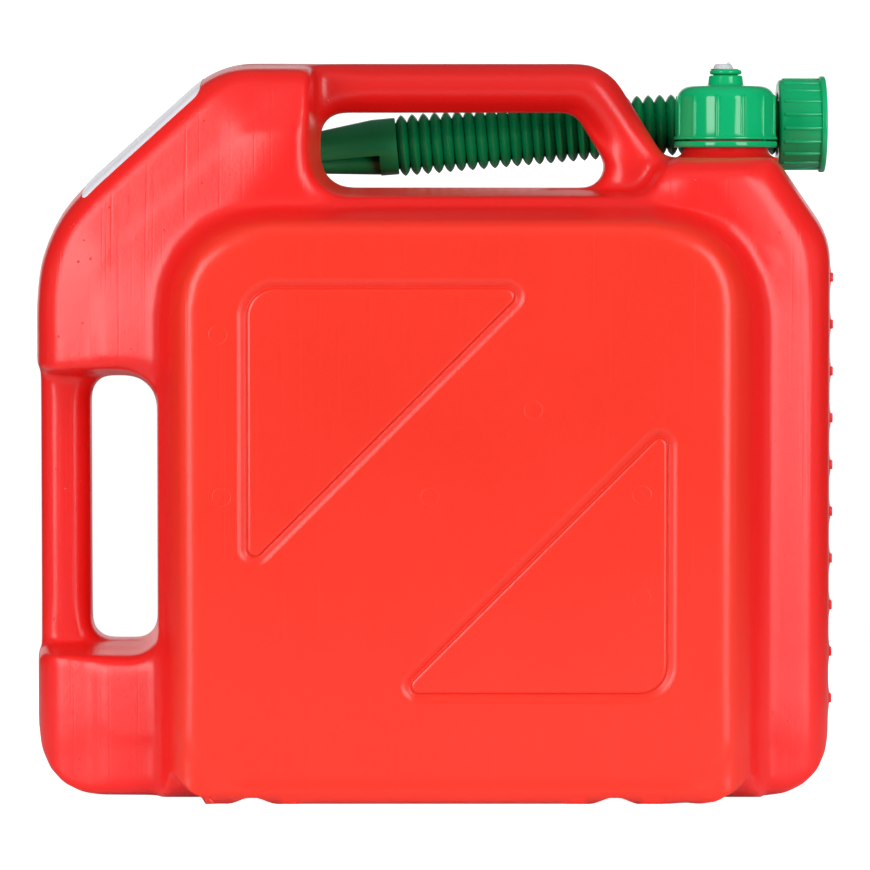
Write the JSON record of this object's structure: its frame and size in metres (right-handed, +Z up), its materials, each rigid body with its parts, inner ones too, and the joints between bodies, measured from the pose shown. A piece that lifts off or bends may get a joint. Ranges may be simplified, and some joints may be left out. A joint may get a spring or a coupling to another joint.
{
  "type": "fuel can",
  "caption": "Blow-moulded fuel can with top handle, side hand post, screw cap with vent, and a flexible pouring spout stored behind the handle.",
  "frame": {"origin": "middle of the flat base, on the parting plane of the can", "axes": "+X towards the filler neck end, +Y towards the stored spout at the back, +Z up"},
  "size_m": [0.4149, 0.172, 0.3757],
  "materials": {
    "can": "satin red polyethylene, fine moulded grain",
    "cap": "glossy green polypropylene",
    "spout": "glossy dark green polyethylene",
    "nut": "glossy green polypropylene",
    "insert": "milky clear polyethylene",
    "label": "white film, unprinted",
    "seal": "black rubber"
  },
  "bodies": {
    "can": {"can_body": "can", "shoulder_label": "label"},
    "gasket": {"cap_gasket": "seal"},
    "cap": {"filler_cap": "cap"},
    "vent": {"vent_plug": "cap", "vent_seal": "seal", "vent_insert": "insert"},
    "ring": {"tamper_ring": "cap"},
    "spout": {"spout_hose": "spout", "spout_nozzle": "spout", "spout_flange": "spout", "nut_gasket": "seal"},
    "nut": {"spout_nut": "nut"}
  },
  "joints": [
    {"name": "cap_lift", "type": "slide", "parent": "can", "child": "gasket", "axis": [0, 0, 1], "range_m": [0, 0.01201]},
    {"name": "cap_turn", "type": "hinge", "parent": "gasket", "child": "cap", "pos_m": [0.1513, 0, 0.35], "axis": [0, 0, 1], "range_deg": [0, 720]},
    {"name": "vent_pull", "type": "slide", "parent": "cap", "child": "vent", "axis": [0, 0, 1], "range_m": [0, 0.005]},
    {"name": "ring_turn", "type": "hinge", "parent": "can", "child": "ring", "pos_m": [0.1513, 0, 0.333], "axis": [0, 0, 1], "continuous": true},
    {"name": "spout_lift_out", "type": "slide", "parent": "can", "child": "spout", "axis": [0, 1, 0], "range_m": [0, 0.06]},
    {"name": "nut_turn", "type": "hinge", "parent": "spout", "child": "nut", "pos_m": [0.182, 0.045, 0.3443], "axis": [1, 0, 0], "continuous": true}
  ],
  "couplings": [
    {"joint": "cap_lift", "follows": "cap_turn", "m_per_rad": 0.00095493}
  ]
}
